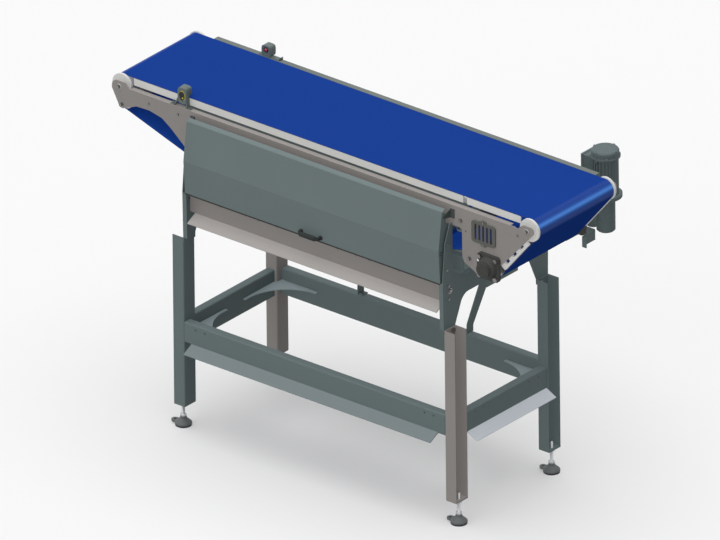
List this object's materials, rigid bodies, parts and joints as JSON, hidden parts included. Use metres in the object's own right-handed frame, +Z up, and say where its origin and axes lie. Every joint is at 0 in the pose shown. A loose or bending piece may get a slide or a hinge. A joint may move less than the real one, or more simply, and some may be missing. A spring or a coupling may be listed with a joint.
{
  "type": "flow scale",
  "caption": "Belt conveyor scale with side covers, riding on load cells in a folded steel stand with levelling feet and a rear control cabinet.",
  "frame": {"origin": "on the floor at the middle of the four levelling feet", "axes": "+X along the belt towards the drive end, +Y towards the control cabinet, +Z up"},
  "size_m": [1.886, 0.8598, 1.271],
  "materials": {
    "dark_grey_paint": "matte powder coat",
    "taupe_paint": "matte powder coat",
    "steel": "ground",
    "blue_belt": "fine matte weave under a coating",
    "white_plastic": "machined",
    "cast_bearing": "painted casting",
    "motor_paint": "painted casting",
    "foot_plastic": "moulded",
    "aluminium": "milled",
    "yellow_plastic": "moulded",
    "sensor_grey": "moulded",
    "red_lens": "clear red"
  },
  "bodies": {
    "machine": {"leg_front_left": "dark_grey_paint", "leg_rear_right": "dark_grey_paint", "stretcher_front": "dark_grey_paint", "stretcher_rear": "dark_grey_paint", "stretcher_right": "dark_grey_paint", "stretcher_left": "dark_grey_paint", "corner_gussets": "dark_grey_paint", "end_plate_left": "dark_grey_paint", "end_plate_right": "dark_grey_paint", "load_beams": "dark_grey_paint", "bed_beams": "dark_grey_paint", "cabinet_arm_left": "dark_grey_paint", "cabinet_arm_right": "dark_grey_paint", "cabinet_case": "dark_grey_paint", "eye_guard": "dark_grey_paint", "torque_bracket": "dark_grey_paint", "cross_members": "dark_grey_paint", "weigh_brackets": "dark_grey_paint", "leg_front_right": "taupe_paint", "leg_rear_left": "taupe_paint", "rail_front": "taupe_paint", "rail_rear": "taupe_paint", "side_plate_front": "taupe_paint", "side_plate_rear": "taupe_paint", "vent_grille": "taupe_paint", "slider_bed": "steel", "hinge_lugs": "steel", "cabinet_hinges": "steel", "stand_bolts": "steel", "conveyor_bolts": "steel", "cabinet_panel": "steel", "belt": "blue_belt", "slide_strips": "white_plastic", "comb_guards": "white_plastic", "drive_bearings": "cast_bearing", "gearbox": "motor_paint", "motor": "motor_paint", "motor_cap": "motor_paint", "terminal_box": "motor_paint", "load_cells": "aluminium", "photo_eye": "yellow_plastic", "far_eye": "sensor_grey", "eye_lenses": "red_lens"},
    "end_roller_left_body": {"end_roller_left": "white_plastic"},
    "end_roller_right_body": {"end_roller_right": "white_plastic"},
    "drive_roller_body": {"drive_roller": "steel"},
    "lift_roller_body": {"lift_roller": "steel"},
    "return_left_body": {"return_roller_left": "steel"},
    "return_right_body": {"return_roller_right": "steel"},
    "snub_body": {"drive_snub_roller": "steel"},
    "front_cover_body": {"cover_front": "dark_grey_paint", "cover_handle_front": "dark_grey_paint"},
    "rear_cover_body": {"cover_rear": "dark_grey_paint", "cover_handle_rear": "dark_grey_paint"},
    "door_body": {"cabinet_door": "dark_grey_paint"},
    "latch_body": {"door_latch": "steel"},
    "foot_front_left_body": {"foot_front_left": "foot_plastic"},
    "foot_front_right_body": {"foot_front_right": "foot_plastic"},
    "foot_rear_left_body": {"foot_rear_left": "foot_plastic"},
    "foot_rear_right_body": {"foot_rear_right": "foot_plastic"}
  },
  "joints": [
    {"name": "drive_spin", "type": "hinge", "parent": "machine", "child": "drive_roller_body", "pos_m": [0.738, 0, 1.01], "axis": [0, 1, 0], "continuous": true},
    {"name": "end_left_spin", "type": "hinge", "parent": "machine", "child": "end_roller_left_body", "pos_m": [-0.901, 0, 1.1917], "axis": [0, 1, 0], "continuous": true},
    {"name": "end_right_spin", "type": "hinge", "parent": "machine", "child": "end_roller_right_body", "pos_m": [0.901, 0, 1.1917], "axis": [0, 1, 0], "continuous": true},
    {"name": "lift_spin", "type": "hinge", "parent": "machine", "child": "lift_roller_body", "pos_m": [-0.89, 0, 1.127], "axis": [0, 1, 0], "continuous": true},
    {"name": "return_left_spin", "type": "hinge", "parent": "machine", "child": "return_left_body", "pos_m": [-0.515, 0, 1.002], "axis": [0, 1, 0], "continuous": true},
    {"name": "return_right_spin", "type": "hinge", "parent": "machine", "child": "return_right_body", "pos_m": [0.43, 0, 1.002], "axis": [0, 1, 0], "continuous": true},
    {"name": "snub_spin", "type": "hinge", "parent": "machine", "child": "snub_body", "pos_m": [0.646, 0, 1.012], "axis": [0, 1, 0], "continuous": true},
    {"name": "front_cover_hinge", "type": "hinge", "parent": "machine", "child": "front_cover_body", "pos_m": [0, -0.258, 1.16], "axis": [-1, 0, 0], "range_deg": [0, 95]},
    {"name": "rear_cover_hinge", "type": "hinge", "parent": "machine", "child": "rear_cover_body", "pos_m": [0, 0.258, 1.16], "axis": [1, 0, 0], "range_deg": [0, 95]},
    {"name": "cabinet_door_hinge", "type": "hinge", "parent": "machine", "child": "door_body", "pos_m": [-0.25, 0.5088, 0.7], "axis": [0, 0, 1], "range_deg": [0, 110]},
    {"name": "latch_turn", "type": "hinge", "parent": "door_body", "child": "latch_body", "pos_m": [0.215, 0.5088, 0.7235], "axis": [0, 1, 0], "range_deg": [0, 90]},
    {"name": "foot_front_left_screw", "type": "slide", "parent": "machine", "child": "foot_front_left_body", "axis": [0, 0, 1], "range_m": [-0.02, 0.02]},
    {"name": "foot_front_right_screw", "type": "slide", "parent": "machine", "child": "foot_front_right_body", "axis": [0, 0, 1], "range_m": [-0.02, 0.02]},
    {"name": "foot_rear_left_screw", "type": "slide", "parent": "machine", "child": "foot_rear_left_body", "axis": [0, 0, 1], "range_m": [-0.02, 0.02]},
    {"name": "foot_rear_right_screw", "type": "slide", "parent": "machine", "child": "foot_rear_right_body", "axis": [0, 0, 1], "range_m": [-0.02, 0.02]}
  ],
  "couplings": [
    {"joint": "end_left_spin", "follows": "drive_spin", "ratio": 1.2681},
    {"joint": "end_right_spin", "follows": "drive_spin", "ratio": 1.2681},
    {"joint": "lift_spin", "follows": "drive_spin", "ratio": 1.7985},
    {"joint": "return_left_spin", "follows": "drive_spin", "ratio": 1.7985},
    {"joint": "return_right_spin", "follows": "drive_spin", "ratio": 1.7985},
    {"joint": "snub_spin", "follows": "drive_spin", "ratio": -2.2207}
  ]
}
